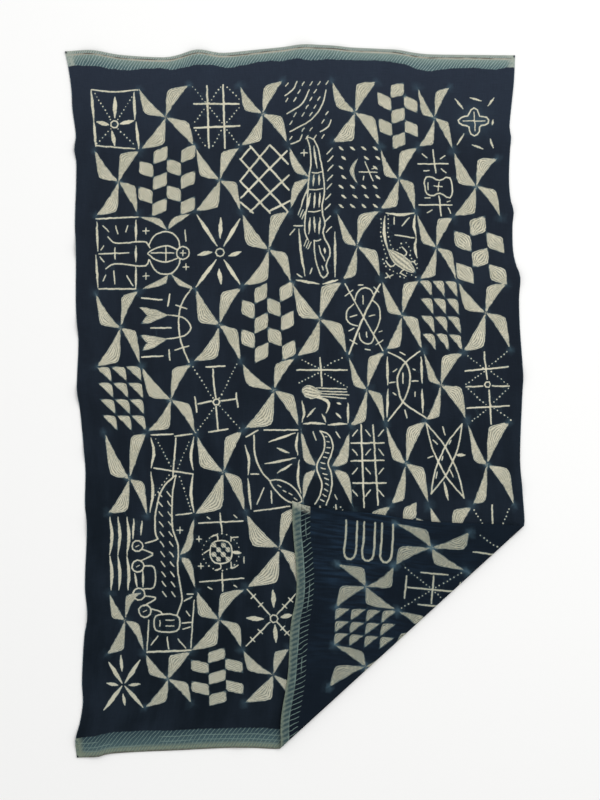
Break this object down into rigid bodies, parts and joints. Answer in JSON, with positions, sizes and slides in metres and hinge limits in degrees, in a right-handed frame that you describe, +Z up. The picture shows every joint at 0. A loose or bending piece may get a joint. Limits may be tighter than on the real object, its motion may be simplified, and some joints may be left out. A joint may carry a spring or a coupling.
{
  "type": "adire cloth",
  "caption": "Rectangular indigo resist-dyed cotton cloth, laid face up with its lower right corner folded over to show the reverse.",
  "frame": {"origin": "middle of the cloth's box, on the surface that it lies on", "axes": "+X across the cloth to the right, +Y along it to the top end, +Z up from the surface"},
  "size_m": [0.9192, 1.4254, 0.0111],
  "materials": {
    "indigo_cotton": "matte plain-weave cotton, indigo with undyed motifs"
  },
  "bodies": {
    "root": {"adire_cloth": "indigo_cotton"}
  },
  "joints": []
}
